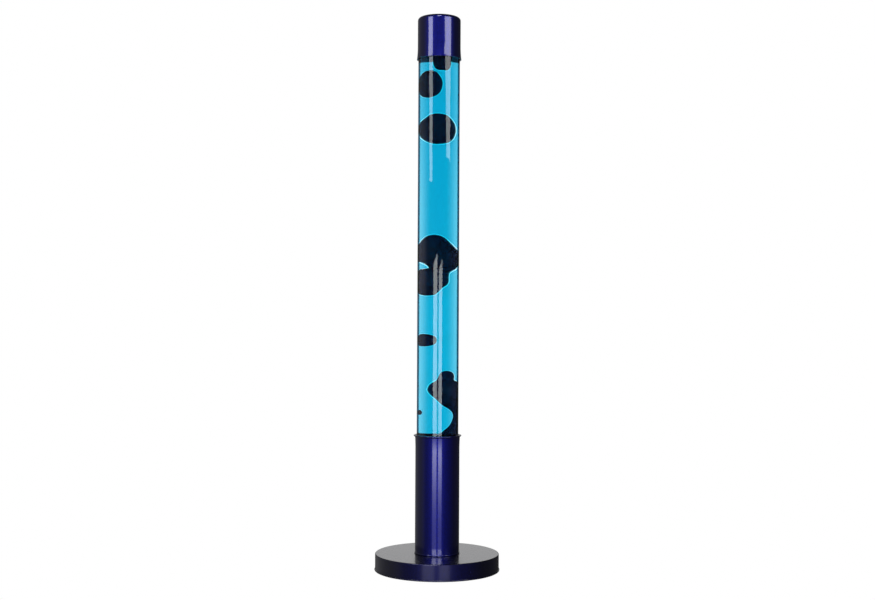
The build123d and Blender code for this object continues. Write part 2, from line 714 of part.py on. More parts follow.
with BuildPart() as bottle_coil:
    with BuildLine() as coil_line:
        Helix(COIL_PITCH, COIL_TURNS * COIL_PITCH, COIL_RADIUS, center=(0, 0, INNER_BOTTOM + 1.5))
    with BuildSketch(Plane(origin=coil_line.line @ 0, z_dir=coil_line.line % 0)):
        Circle(COIL_WIRE)
    sweep(is_frenet=True)
save(bottle_coil, "bottle_coil")

# ---- Wax and liquid -----------------------------------------------------------------------------
with BuildPart() as wax_pool:
    revolve(bottle_inside(INNER_BOTTOM, POOL_TOP), axis=Axis.Z)
    for centre, radius, half_height in WAX_RISING:
        spheroid(centre, radius, half_height)
    add(bottle_coil.part, mode=Mode.SUBTRACT)
save(wax_pool, "wax_pool")

for name, lobes in WAX_BLOBS.items():
    with BuildPart() as blob:
        for centre, radius, half_height in lobes:
            spheroid(centre, radius, half_height)
    save(blob, name)

with BuildPart() as liquid:
    revolve(bottle_inside(POOL_TOP, LIQUID_LEVEL), axis=Axis.Z)
    for centre, radius, half_height in WAX_RISING:
        spheroid(centre, radius, half_height, mode=Mode.SUBTRACT)
    for lobes in WAX_BLOBS.values():
        for centre, radius, half_height in lobes:
            spheroid(centre, radius, half_height, extra=GAP, mode=Mode.SUBTRACT)
save(liquid, "liquid")

# ---- Cap ----------------------------------------------------------------------------------------
with BuildPart() as top_cap:
    with BuildSketch(Plane.XZ):
        with BuildLine():
            rise = CAP_FLARE_START - CAP_RIM
            flare_out = rise * rise / (2 * CAP_FLARE_ARC)
            side_low = (CAP_RADIUS, CAP_FLARE_START)
            rim_out = (CAP_RADIUS + flare_out, CAP_RIM)
            edge_low = (CAP_RADIUS, TOTAL_HEIGHT - CAP_EDGE)
            edge_high = (CAP_RADIUS - CAP_EDGE, TOTAL_HEIGHT)
            bore = CAP_RADIUS - CAP_SHEET
            ceiling = TOTAL_HEIGHT - CAP_SHEET
            inner_low = (bore, TOTAL_HEIGHT - CAP_EDGE)
            inner_high = (CAP_RADIUS - CAP_EDGE, ceiling)
            Polyline((0, ceiling), (0, TOTAL_HEIGHT), edge_high)
            RadiusArc(edge_high, edge_low, CAP_EDGE)
            Line(edge_low, side_low)
            TangentArc(side_low, rim_out, tangent=(0, -1))
            Line(rim_out, (bore + flare_out, CAP_RIM))
            TangentArc((bore, CAP_FLARE_START), (bore + flare_out, CAP_RIM), tangent=(0, -1))
            Line((bore, CAP_FLARE_START), inner_low)
            RadiusArc(inner_high, inner_low, CAP_EDGE - CAP_SHEET)
            Line(inner_high, (0, ceiling))
        make_face()
    revolve(axis=Axis.Z)
save(top_cap, "top_cap")

with BuildPart() as cap_liner:
    ring(0, 19.0, NECK_TOP + 3.3 + TOUCH, TOTAL_HEIGHT - CAP_SHEET)
save(cap_liner, "cap_liner")
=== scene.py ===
"""Looks of the lava lamp: fine meshes, materials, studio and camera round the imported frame.

Metres, +Z up, the lamp's axis on Z, its front towards -Y.
"""

import math

import bmesh
import bpy
from mathutils import Matrix, Vector


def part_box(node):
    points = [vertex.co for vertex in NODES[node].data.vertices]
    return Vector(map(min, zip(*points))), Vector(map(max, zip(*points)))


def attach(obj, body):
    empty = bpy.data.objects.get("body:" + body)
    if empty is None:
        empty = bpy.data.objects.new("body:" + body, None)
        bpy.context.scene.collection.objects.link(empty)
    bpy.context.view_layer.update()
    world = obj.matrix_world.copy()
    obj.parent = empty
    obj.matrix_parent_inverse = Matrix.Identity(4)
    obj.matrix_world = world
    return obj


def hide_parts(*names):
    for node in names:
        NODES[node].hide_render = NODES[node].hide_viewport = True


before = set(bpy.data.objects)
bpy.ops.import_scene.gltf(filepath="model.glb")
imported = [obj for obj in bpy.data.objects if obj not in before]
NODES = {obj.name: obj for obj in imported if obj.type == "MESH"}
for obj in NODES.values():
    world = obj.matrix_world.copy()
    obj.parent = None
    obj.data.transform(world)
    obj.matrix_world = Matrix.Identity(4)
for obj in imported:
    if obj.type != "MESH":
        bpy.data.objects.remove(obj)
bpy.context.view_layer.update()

MM = 0.001
SEGMENTS = 192  # round the lamp's axis
ON_AXIS = 1e-6  # a radius below this is a point on the axis


def span(node):
    """(outer radius, bottom, top) of a round CAD node on the lamp's axis."""
    low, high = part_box(node)
    return high[0], low[2], high[2]


# ---- Mesh helpers -------------------------------------------------------------------------------
def add_object(name, data):
    """A new object in the scene for a mesh, light or camera."""
    added = bpy.data.objects.new(name, data)
    bpy.context.scene.collection.objects.link(added)
    return added


def finish_mesh(name, shape, sharp=35):
    """Turns a bmesh into an object, smooth except where faces meet at more than sharp degrees."""
    bmesh.ops.recalc_face_normals(shape, faces=shape.faces)
    mesh = bpy.data.meshes.new(name)
    shape.to_mesh(mesh)
    shape.free()
    mesh.polygons.foreach_set("use_smooth", [True] * len(mesh.polygons))
    mesh.set_sharp_from_angle(angle=math.radians(sharp))
    return add_object(name, mesh)


def arc(centre, radius, start, end, steps):
    """Points on an arc in an outline, from one angle to another, in degrees."""
    points = []
    for step in range(steps + 1):
        angle = math.radians(start + (end - start) * step / steps)
        points.append((centre[0] + radius * math.cos(angle), centre[1] + radius * math.sin(angle)))
    return points


def supported(outline):
    """A closed outline with points added along its long runs, which keeps them straight when shaded.

    Each long run gets a point near both ends, and evenly spaced ones between.
    """
    long_run = 2 * MM
    end_inset = 0.25 * MM
    spacing = 40 * MM
    points = []
    for index, start in enumerate(outline):
        end = outline[(index + 1) % len(outline)]
        run = Vector(end) - Vector(start)
        points.append(start)
        if run.length > long_run:
            inset = end_inset / run.length
            stretches = max(1, round(run.length / spacing))
            shares = [inset] + [step / stretches for step in range(1, stretches)] + [1 - inset]
            points += [tuple(Vector(start) + run * share) for share in shares]
    return points


def join_rings(shape, low, high, around):
    """Faces between two rings of vertices, either of which may be a single point."""
    for step in range(around):
        after = (step + 1) % around
        edge_below = [low[step % len(low)], low[after % len(low)]]
        edge_above = [high[after % len(high)], high[step % len(high)]]
        shape.faces.new(list(dict.fromkeys(edge_below + edge_above)))


def lathe(name, outline, segments=SEGMENTS):
    """Turns a closed outline of (radius, height) points about the lamp's axis."""
    shape = bmesh.new()
    rings = []
    for radius, height in supported(outline):
        if radius < ON_AXIS:
            rings.append([shape.verts.new((0, 0, height))])
            continue
        ring = []
        for step in range(segments):
            angle = 2 * math.pi * step / segments
            ring.append(shape.verts.new((radius * math.cos(angle), radius * math.sin(angle), height)))
        rings.append(ring)
    for index, low in enumerate(rings):
        high = rings[(index + 1) % len(rings)]
        if len(low) > 1 or len(high) > 1:
            join_rings(shape, low, high, segments)
    return finish_mesh(name, shape)


def faces_inward(face):
    """Whether a face of a turned piece looks towards the lamp's axis."""
    return face.normal.x * face.center.x + face.normal.y * face.center.y < -ON_AXIS


# ---- Material helpers ---------------------------------------------------------------------------
class Nodes:
    """A short way to add and link a node tree's nodes."""

    def __init__(self, tree):
        self.tree = tree
        tree.nodes.clear()

    def add(self, kind, **inputs):
        """A node with its inputs given by name, as values or as sockets to link from."""
        node = self.tree.nodes.new(kind)
        for key, value in inputs.items():
            if key in ("operation", "interpolation_type"):
                setattr(node, key, value)
                continue
            name = int(key[1:]) if key[0] == "_" else key.replace("_", " ")
            socket = node.inputs[name]
            if isinstance(value, bpy.types.NodeSocket):
                self.tree.links.new(value, socket)
            else:
                socket.default_value = value
        return node

    def math(self, operation, first, second=0.0, third=0.0):
        """The result of a Math node."""
        return self.add("ShaderNodeMath", operation=operation, _0=first, _1=second, _2=third).outputs[0]

    def ramp(self, factor, low, high, start, end):
        """A value eased from low to high as factor goes from start to end."""
        node = self.add("ShaderNodeMapRange", interpolation_type="SMOOTHSTEP", Value=factor)
        for key, value in (("From Min", start), ("From Max", end), ("To Min", low), ("To Max", high)):
            node.inputs[key].default_value = value
        return node.outputs[0]

    def blend(self, factor, first, second):
        """A mix of two colours."""
        node = self.tree.nodes.new("ShaderNodeMix")
        node.data_type = "RGBA"
        for socket, value in ((node.inputs[0], factor), (node.inputs[6], first), (node.inputs[7], second)):
            if isinstance(value, bpy.types.NodeSocket):
                self.tree.links.new(value, socket)
            else:
                socket.default_value = value
        return node.outputs[2]

    def noise(self, scale, detail=2.0, stretch=(1, 1, 1)):
        """Noise over the object's own coordinates, in metres."""
        place = self.add("ShaderNodeTexCoord").outputs["Object"]
        grain = self.add("ShaderNodeMapping", Vector=place, Scale=stretch).outputs[0]
        return self.add("ShaderNodeTexNoise", Vector=grain, Scale=scale, Detail=detail).outputs[0]

    def bump(self, height, strength, distance):
        """A normal for a height field."""
        return self.add("ShaderNodeBump", Height=height, Strength=strength, Distance=distance).outputs[0]

    def facing(self):
        """0 where a surface is square to the eye, 1 where it is edge on."""
        return self.add("ShaderNodeLayerWeight", Blend=0.5).outputs["Facing"]

    def height(self):
        """Height in the piece's own coordinates, in metres, which moves with the piece."""
        place = self.add("ShaderNodeTexCoord").outputs["Object"]
        return self.add("ShaderNodeSeparateXYZ", Vector=place).outputs["Z"]


def colour(red, green, blue):
    """A colour with full alpha, in linear light."""
    return (red, green, blue, 1.0)


def new_material(name):
    """A named material with an empty node tree: (material, its Nodes)."""
    material = bpy.data.materials.new(name)
    material.use_nodes = True
    return material, Nodes(material.node_tree)


def surface_of(nodes, shader, volume=None):
    """Ends a material's tree with its shader and, for a liquid, its volume."""
    output = nodes.tree.nodes.new("ShaderNodeOutputMaterial")
    nodes.tree.links.new(shader, output.inputs["Surface"])
    if volume:
        nodes.tree.links.new(volume, output.inputs["Volume"])


def grained(name, dark, light, scale, roughness, bump, depth, stretch=(1, 1, 1), **plain):
    """A solid material with grain: its colour and roughness vary together with a noise field.

    bump is the grain's strength and depth its height in mm; plain holds Principled values by name.
    """
    material, nodes = new_material(name)
    grain = nodes.noise(scale, 4.0, stretch)
    base = nodes.blend(nodes.ramp(grain, 0.0, 1.0, 0.3, 0.7), colour(*dark), colour(*light))
    rough = nodes.ramp(grain, roughness[0], roughness[1], 0.25, 0.75)
    normal = nodes.bump(grain, bump, depth * MM)
    shader = nodes.add("ShaderNodeBsdfPrincipled", Base_Color=base, Roughness=rough, Normal=normal)
    for key, value in plain.items():
        shader.inputs[key.replace("_", " ")].default_value = value
    surface_of(nodes, shader.outputs[0])
    return material


def lacquer(name, dark, light, painted_edge_shade, coat_roughness):
    """Metallic lacquer under a clear coat, with a little orange peel.

    dark and light are the flake's colours seen square on, and the third colour the one it darkens to at an
    angle: partly the flake's flop, partly painted shade for the dark sides.
    """
    material, nodes = new_material(name)
    flake = nodes.noise(1000.0, 1.0)
    cloud = nodes.noise(14.0, 3.0)
    shade = nodes.math("ADD", nodes.ramp(flake, 0.0, 0.7, 0.35, 0.75), nodes.math("MULTIPLY", cloud, 0.3))
    edge = nodes.facing()
    base = nodes.blend(shade, colour(*dark), colour(*light))
    # Painted shade: the base colour darkens towards edges seen at an angle. This is partly the flake's flop
    # and partly shade painted in for the dark sides.
    base = nodes.blend(nodes.ramp(edge, 0.0, 1.0, 0.08, 0.36), base, colour(*painted_edge_shade))
    rough = nodes.ramp(flake, 0.36, 0.42, 0.3, 0.7)
    peel = nodes.bump(nodes.noise(420.0, 2.0), 0.06, 0.1 * MM)
    shader = nodes.add(
        "ShaderNodeBsdfPrincipled",
        Base_Color=base,
        Metallic=0.85,
        Roughness=rough,
        Coat_Weight=1.0,
        Coat_Roughness=coat_roughness,
        Coat_IOR=1.62,
        Coat_Normal=peel,
    )
    surface_of(nodes, shader.outputs[0])
    return material


def bottle_glass():
    """The bottle's outer glass, tinted where light enters it.

    The tint stands in for part of the liquid's colour: deep where the glass is square to the eye,
    and nearly clear towards the tube's sides low down. It also carries painted light: the deep tint
    is lighter low down, a painted glow from the bulb below; the sides are tinted darker higher up,
    a painted shade; and the very edge is a near-black painted shade. Heights are in metres.
    """
    material, nodes = new_material("bottle_glass")
    streak = nodes.noise(9.0, 2.0, (1, 1, 0.05))
    clear = nodes.blend(streak, colour(0.985, 0.995, 1.0), colour(1.0, 1.0, 1.0))
    edge = nodes.facing()
    entering = nodes.math("SUBTRACT", 1.0, nodes.add("ShaderNodeNewGeometry").outputs["Backfacing"])
    middle = nodes.math("MULTIPLY", entering, nodes.ramp(edge, 1.0, 0.0, 0.08, 0.50))
    height = nodes.height()
    # Painted shade: the tube's sides are tinted darker higher up.
    painted_shade_upward = nodes.math("MULTIPLY", entering, nodes.ramp(height, 0.0, 1.0, 0.47, 0.65))
    sides = nodes.blend(painted_shade_upward, clear, colour(0.25, 0.72, 0.82))
    # Painted light: the deep tint is lighter low down, a glow from the bulb below painted in.
    painted_glow_fade = nodes.ramp(height, 0.0, 1.0, 0.33, 0.55)
    deep = nodes.blend(painted_glow_fade, colour(0.006, 0.64, 0.68), colour(0.001, 0.53, 0.60))
    tint = nodes.blend(middle, sides, deep)
    # Painted shade: a near-black band on the very edge of the glass.
    tint = nodes.blend(nodes.ramp(edge, 0.0, 1.0, 0.53, 0.61), tint, colour(0.0, 0.02, 0.04))
    shader = nodes.add(
        "ShaderNodeBsdfPrincipled",
        Base_Color=tint,
        Roughness=0.0,
        IOR=1.5,
        Transmission_Weight=1.0,
    )
    surface_of(nodes, shader.outputs[0])
    return material


def inner_glass():
    """The bottle's wetted inside, which bends light and mirrors almost none."""
    material, nodes = new_material("bottle_glass_wetted")
    streak = nodes.noise(9.0, 2.0, (1, 1, 0.05))
    tint = nodes.blend(streak, colour(0.99, 1.0, 1.0), colour(1.0, 1.0, 1.0))
    shader = nodes.add("ShaderNodeBsdfRefraction", Color=tint, Roughness=0.0, IOR=1.5)
    surface_of(nodes, shader.outputs[0])
    return material


def blue_liquid():
    """Clear blue liquid: its colour comes from how far light goes through it."""
    material, nodes = new_material("blue_liquid")
    haze = nodes.noise(20.0, 2.0)
    tint = nodes.blend(haze, colour(0.99, 1.0, 1.0), colour(1.0, 1.0, 1.0))
    shader = nodes.add("ShaderNodeBsdfRefraction", Color=tint, Roughness=0.0, IOR=1.33)
    volume = nodes.add("ShaderNodeVolumeAbsorption", Color=colour(0.057, 0.808, 0.951), Density=60.0)
    surface_of(nodes, shader.outputs[0], volume.outputs[0])
    return material


def navy_wax():
    """Smooth dark wax with a painted highlight round its rim, a gloss brightened past any real reflection,
    which the flat of the wax pool goes without.
    """
    material, nodes = new_material("navy_wax")
    cloud = nodes.noise(60.0, 3.0)
    base = nodes.blend(cloud, colour(0.012, 0.012, 0.035), colour(0.02, 0.022, 0.06))
    rough = nodes.ramp(cloud, 0.28, 0.38, 0.3, 0.7)
    shader = nodes.add(
        "ShaderNodeBsdfPrincipled",
        Base_Color=base,
        Roughness=rough,
        IOR=1.12,
    )
    edge = nodes.facing()
    height = nodes.height()
    # Painted highlight: a gloss up to four times brighter than a mirror could be, round the rim of the wax
    # above the pool.
    boosted_rim_gloss = nodes.add("ShaderNodeBsdfGlossy", Color=colour(4.0, 1.7, 1.5), Roughness=0.05)
    rim = nodes.ramp(edge, 0.0, 1.0, 0.59, 0.80)
    above_pool = nodes.ramp(height, 0.0, 1.0, 0.188, 0.193)
    factor = nodes.math("MULTIPLY", rim, above_pool)
    both = nodes.add("ShaderNodeMixShader", _0=factor, _1=shader.outputs[0], _2=boosted_rim_gloss.outputs[0])
    surface_of(nodes, both.outputs[0])
    return material


LACQUER = lacquer("blue_lacquer", (0.0015, 0.003, 0.12), (0.003, 0.007, 0.28), (0.003, 0.004, 0.07), 0.07)
# A darker copy of the blue lacquer for the base shell and its screws: painted shade, for the base getting
# less light than the column and cap. Its coat is also rougher.
SHADED_BASE_LACQUER = lacquer(
    "blue_lacquer_shaded_copy", (0.0015, 0.002, 0.05), (0.004, 0.005, 0.12), (0.003, 0.003, 0.03), 0.17
)
GLASS = bottle_glass()
WETTED = inner_glass()
LIQUID = blue_liquid()
WAX = navy_wax()
STEEL = grained(
    "zinc_steel", (0.42, 0.43, 0.44), (0.62, 0.62, 0.60), 900, (0.25, 0.4), 0.15, 0.02, Metallic=1.0
)
IRON = grained("cast_iron_enamel", (0.02, 0.02, 0.021), (0.05, 0.05, 0.052), 500, (0.45, 0.7), 0.6, 0.2)
RUBBER = grained("black_rubber", (0.012, 0.012, 0.012), (0.03, 0.03, 0.03), 1200, (0.7, 0.9), 0.3, 0.05)
NYLON = grained("black_nylon", (0.012, 0.012, 0.014), (0.028, 0.028, 0.03), 1500, (0.4, 0.55), 0.2, 0.03)
WHITE_NYLON = grained("white_nylon", (0.62, 0.61, 0.57), (0.78, 0.77, 0.73), 700, (0.35, 0.5), 0.1, 0.03)
PHENOLIC = grained(
    "black_phenolic", (0.008, 0.008, 0.009), (0.022, 0.021, 0.02), 900, (0.18, 0.3), 0.08, 0.02
)
STEATITE = grained("steatite", (0.72, 0.69, 0.62), (0.85, 0.83, 0.77), 1600, (0.5, 0.7), 0.3, 0.03)
BRASS = grained("brass", (0.55, 0.36, 0.10), (0.78, 0.56, 0.22), 700, (0.22, 0.4), 0.12, 0.02, Metallic=1.0)
SOLDER = grained(
    "solder", (0.45, 0.45, 0.46), (0.62, 0.62, 0.62), 1800, (0.35, 0.5), 0.4, 0.05, Metallic=1.0
)
VITRITE = grained(
    "black_bulb_glass", (0.004, 0.004, 0.006), (0.012, 0.012, 0.02), 800, (0.08, 0.2), 0.1, 0.03
)
MIRROR = grained(
    "bulb_mirror", (0.80, 0.80, 0.80), (0.90, 0.90, 0.89), 500, (0.05, 0.12), 0.02, 0.01, Metallic=1.0
)
TUNGSTEN = grained(
    "tungsten", (0.16, 0.16, 0.17), (0.30, 0.30, 0.31), 3000, (0.4, 0.6), 0.3, 0.02, Metallic=1.0
)
SILICONE = grained("silicone", (0.50, 0.50, 0.48), (0.62, 0.62, 0.60), 900, (0.45, 0.6), 0.1, 0.03)
ALUMINIUM = grained(
    "closure_aluminium", (0.60, 0.60, 0.60), (0.78, 0.78, 0.78), 600, (0.25, 0.4), 0.1, 0.02,
    stretch=(1, 1, 8), Metallic=1.0,
)
CAP_LINING = grained("cap_lining", (0.72, 0.76, 0.80), (0.82, 0.86, 0.90), 900, (0.5, 0.7), 0.1, 0.02)
FOAM = grained("black_foam", (0.008, 0.008, 0.008), (0.03, 0.03, 0.03), 2600, (0.85, 1.0), 1.0, 0.4)
PALE_FOAM = grained("liner_foam", (0.60, 0.58, 0.53), (0.75, 0.73, 0.68), 2600, (0.7, 0.9), 0.6, 0.2)
BROWN_WIRE = grained("brown_wire", (0.10, 0.035, 0.012), (0.16, 0.06, 0.02), 900, (0.35, 0.5), 0.1, 0.02)
BLUE_WIRE = grained("blue_wire", (0.01, 0.06, 0.35), (0.02, 0.10, 0.50), 900, (0.35, 0.5), 0.1, 0.02)
GREEN_WIRE = grained("green_wire", (0.06, 0.28, 0.02), (0.45, 0.50, 0.02), 260, (0.35, 0.5), 0.1, 0.02)


def clear_bulb_glass():
    """Thin clear glass of the bulb, drawn with a faint waviness."""
    material, nodes = new_material("bulb_glass")
    wave = nodes.noise(90.0, 2.0)
    tint = nodes.blend(wave, colour(0.96, 0.97, 0.97), colour(1.0, 1.0, 1.0))
    shader = nodes.add(
        "ShaderNodeBsdfPrincipled",
        Base_Color=tint,
        Roughness=0.0,
        IOR=1.5,
        Transmission_Weight=1.0,
        Normal=nodes.bump(wave, 0.05, 0.2 * MM),
    )
    surface_of(nodes, shader.outputs[0])
    return material


BULB_GLASS = clear_bulb_glass()

# Every node that isn't named here is wax.
MATERIAL_OF = {
    "base_shell": SHADED_BASE_LACQUER,
    "base_weight": IRON,
    "bottom_plate": STEEL,
    "bottom_plate_screws": STEEL,
    "shell_screws": SHADED_BASE_LACQUER,
    "foot_1": RUBBER,
    "foot_2": RUBBER,
    "foot_3": RUBBER,
    "foot_4": RUBBER,
    "cord_gland": NYLON,
    "terminal_block": WHITE_NYLON,
    "terminal_screws": STEEL,
    "live_lead": BROWN_WIRE,
    "neutral_lead": BLUE_WIRE,
    "earth_lead": GREEN_WIRE,
    "earth_screw": STEEL,
    "column": LACQUER,
    "column_floor_plate": STEEL,
    "threaded_tube": STEEL,
    "lower_nut": STEEL,
    "upper_nut": STEEL,
    "lower_washer": STEEL,
    "upper_washer": STEEL,
    "lampholder_base": PHENOLIC,
    "lampholder_insert": STEATITE,
    "lampholder_screw_shell": BRASS,
    "lampholder_contact": BRASS,
    "lampholder_skirt": PHENOLIC,
    "bottle_seat": STEEL,
    "seat_pad": SILICONE,
    "lip_sleeve": NYLON,
    "bulb_tip": SOLDER,
    "bulb_insulator": VITRITE,
    "bulb_cap": BRASS,
    "bulb_envelope": BULB_GLASS,
    "bulb_reflector": MIRROR,
    "bulb_stem": BULB_GLASS,
    "bulb_filament": TUNGSTEN,
    "bottle": GLASS,
    "closure": ALUMINIUM,
    "closure_liner": PALE_FOAM,
    "bottle_coil": STEEL,
    "liquid": LIQUID,
    "top_cap": LACQUER,
    "cap_liner": FOAM,
}
for name, node in NODES.items():
    material = MATERIAL_OF.get(name, WAX)
    node.data.materials.clear()
    node.data.materials.append(material)


# ---- Column and cap -----------------------------------------------------------------------------
FLARE_STEPS = 8


def make_column():
    """The column's tube: foot bead, slight flare and rolled lip."""
    lip, bottom, top = span("column")
    outer = lip - 2.45 * MM
    bore = outer - 0.8 * MM
    flare = 0.5 * MM
    bead_out = 0.7 * MM
    bead_half = 1.1 * MM
    bead_middle = (outer + 0.1 * MM, bottom + bead_half)
    outline = [(bore, bottom)]
    for across, up in arc((0, 0), 1.0, -90, 90, 10):
        outline.append((bead_middle[0] + across * bead_out, bead_middle[1] + up * bead_half))
    flare_start = top - 20 * MM
    flare_end = top - 2.6 * MM
    for step in range(FLARE_STEPS + 1):
        share = step / FLARE_STEPS
        outline.append((outer + flare * share**2, flare_start + (flare_end - flare_start) * share))
    lip_roll = 0.95 * MM
    mouth_roll = 0.9 * MM
    outline += arc((lip - lip_roll, top - lip_roll), lip_roll, -90, 90, 12)
    outline += arc((bore + mouth_roll, top - mouth_roll), mouth_roll, 90, 180, 6)
    column = lathe("column_tube", outline)
    column.data.materials.append(LACQUER)
    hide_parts("column")
    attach(column, "lamp")


def make_cap():
    """The slip-on cap: rounded shoulder, straight side, slight flare, thin rim and a pale lining."""
    rim, bottom, top = span("top_cap")
    sheet = 0.58 * MM
    edge = 4.5 * MM
    flare_height = 18.5 * MM
    arc_radius = 160 * MM
    flare_out = flare_height**2 / (2 * arc_radius)
    outer = rim - flare_out
    side = []
    for step in range(FLARE_STEPS + 1):
        drop = flare_height * step / FLARE_STEPS
        side.append((outer + drop**2 / (2 * arc_radius), bottom + flare_height - drop))
    shoulder = (outer - edge, top - edge)
    outline = [(0.0, top)] + arc(shoulder, edge, 90, 0, 12) + side
    outline += [(radius - sheet, height) for radius, height in reversed(side)]
    outline += arc(shoulder, edge - sheet, 0, 90, 12)
    outline.append((0.0, top - sheet))
    cap = lathe("cap_shell", outline)
    cap.data.materials.append(LACQUER)
    cap.data.materials.append(CAP_LINING)
    for face in cap.data.polygons:
        if faces_inward(face):
            face.material_index = 1
    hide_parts("top_cap")
    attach(cap, "cap")


# ---- Bottle, liquid and wax ---------------------------------------------------------------------
BOTTLE_RADIUS, BOTTLE_BOTTOM, BOTTLE_TOP = span("bottle")
LIQUID_RADIUS, _, LIQUID_TOP = span("liquid")
INSIDE_BOTTOM = span("wax_pool")[1]
HEEL = 4 * MM
SHOULDER = BOTTLE_TOP - 33 * MM
NECK_START = BOTTLE_TOP - 16 * MM
NECK_RADIUS = 12.5 * MM
NECK_BORE = NECK_RADIUS - 3 * MM
BOTTLE_SEGMENTS = 256


def shoulder_curve(wide, narrow, low, high, steps=14):
    """Points from the bottle's wall to its neck, on an easy S."""
    points = []
    for step in range(steps + 1):
        share = step / steps
        ease = share * share * (3 - 2 * share)
        points.append((wide + (narrow - wide) * ease, low + (high - low) * share))
    return points


def make_bottle():
    """The bottle: thick clear wall, hollowed foot, rounded heel, shoulder and neck."""
    outline = [
        (0.0, BOTTLE_BOTTOM + 1.6 * MM),
        (8 * MM, BOTTLE_BOTTOM + 1.1 * MM),
        (14 * MM, BOTTLE_BOTTOM),
    ]
    outline += arc((BOTTLE_RADIUS - HEEL, BOTTLE_BOTTOM + HEEL), HEEL, -90, 0, 10)
    outline += shoulder_curve(BOTTLE_RADIUS, NECK_RADIUS, SHOULDER + 1 * MM, NECK_START)
    outline.append((NECK_RADIUS, BOTTLE_TOP))
    outline.append((NECK_BORE, BOTTLE_TOP))
    outline += reversed(shoulder_curve(LIQUID_RADIUS, NECK_BORE, SHOULDER, NECK_START - 1 * MM))
    outline += arc((LIQUID_RADIUS - HEEL, INSIDE_BOTTOM + HEEL), HEEL, 0, -90, 10)
    outline.append((0.0, INSIDE_BOTTOM))
    bottle = lathe("bottle_glass_body", outline, BOTTLE_SEGMENTS)
    bottle.data.materials.append(GLASS)
    bottle.data.materials.append(WETTED)
    slack = 0.1 * MM
    for face in bottle.data.polygons:
        out = math.hypot(face.center.x, face.center.y)
        height = face.center.z
        wet = out < LIQUID_RADIUS + 2 * slack and INSIDE_BOTTOM - slack < height < LIQUID_TOP
        inside = faces_inward(face) or height < INSIDE_BOTTOM + slack
        if wet and inside:
            face.material_index = 1
    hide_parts("bottle")
    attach(bottle, "filled_bottle")


def make_liquid():
    """The liquid, a hair larger than the space inside the glass so that the two surfaces never part."""
    press = 0.03 * MM
    outline = [(0.0, INSIDE_BOTTOM - press)]
    outline += arc((LIQUID_RADIUS - HEEL, INSIDE_BOTTOM + HEEL), HEEL + press, -90, 0, 10)
    neck = shoulder_curve(LIQUID_RADIUS, NECK_BORE, SHOULDER, NECK_START - 1 * MM)
    outline += [(radius + press, height) for radius, height in neck if height < LIQUID_TOP]
    outline.append((0.0, LIQUID_TOP))
    liquid = lathe("liquid_fill", outline, BOTTLE_SEGMENTS)
    liquid.data.materials.append(LIQUID)
    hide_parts("liquid")
    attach(liquid, "filled_bottle")


def smooth_loop(points, steps=8):
    """A closed curve through points, by Catmull-Rom."""
    loop = []
    count = len(points)
    for index in range(count):
        before, start, end, after = (Vector(points[(index + shift) % count]) for shift in (-1, 0, 1, 2))
        for step in range(steps):
            t = step / steps
            loop.append(
                0.5
                * (
                    2 * start
                    + (end - before) * t
                    + (2 * before - 5 * start + 4 * end - after) * t * t
                    + (3 * start - before - 3 * end + after) * t**3
                )
            )
    return loop


def crossing(chain, height):
    """Where a chain of (x, z) points first reaches a height."""
    for low, high in zip(chain, chain[1:]):
        if low.y <= height <= high.y:
            return low.x + (high.x - low.x) * (height - low.y) / max(high.y - low.y, 1e-9)
    return chain[-1].x


# For the wax, in mm
WAX_LIMIT = 25.7  # from the axis, just inside the glass
LEAST_HALF = 0.05  # half the width of the narrowest oval
LEAST_LIMIT = 0.1  # the least depth that the glass is taken to leave
SWAY_PITCH = 11.0  # height to one radian of sway
FULL_SWAY_HALF = 8.0  # half the width of an oval that sways in full


def wax_shape(name, node, body, right, left, deep=1.0, sway=1.2, levels=72, around=96):
    """Wax as a stack of ovals between a right and a left outline, in mm, both from bottom to top.

    deep is an oval's depth as a share of its width, and sway how far the stack leans to and fro.
    """
    loop = smooth_loop(right + left[::-1][1:-1])
    bottom = min(range(len(loop)), key=lambda index: loop[index].y)
    loop = loop[bottom:] + loop[:bottom]
    top = max(range(len(loop)), key=lambda index: loop[index].y)
    rising = loop[: top + 1]
    falling = [loop[0]] + loop[: top - 1 : -1]
    low, high = loop[0].y, loop[top].y
    shape = bmesh.new()
    rings = [[shape.verts.new((loop[0].x * MM, 0, low * MM))]]
    for level in range(1, levels):
        height = (low + high) / 2 - (high - low) / 2 * math.cos(math.pi * level / levels)
        east = crossing(rising, height)
        west = crossing(falling, height)
        middle = (east + west) / 2
        half = max((east - west) / 2, LEAST_HALF)
        lean = sway * math.sin(height / SWAY_PITCH) * min(1.0, half / FULL_SWAY_HALF)
        ring = []
        for step in range(around):
            angle = 2 * math.pi * step / around
            across = middle + half * math.cos(angle)
            limit = math.sqrt(max(WAX_LIMIT**2 - across**2, LEAST_LIMIT**2))
            along = max(-limit, min(limit, half * deep * math.sin(angle) + lean))
            ring.append(shape.verts.new((across * MM, along * MM, height * MM)))
        rings.append(ring)
    rings.append([shape.verts.new((loop[top].x * MM, 0, high * MM))])
    for under, over in zip(rings, rings[1:]):
        join_rings(shape, under, over, around)
    blob = finish_mesh(name, shape, sharp=70)
    blob.data.materials.append(WAX)
    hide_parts(node)
    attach(blob, body)


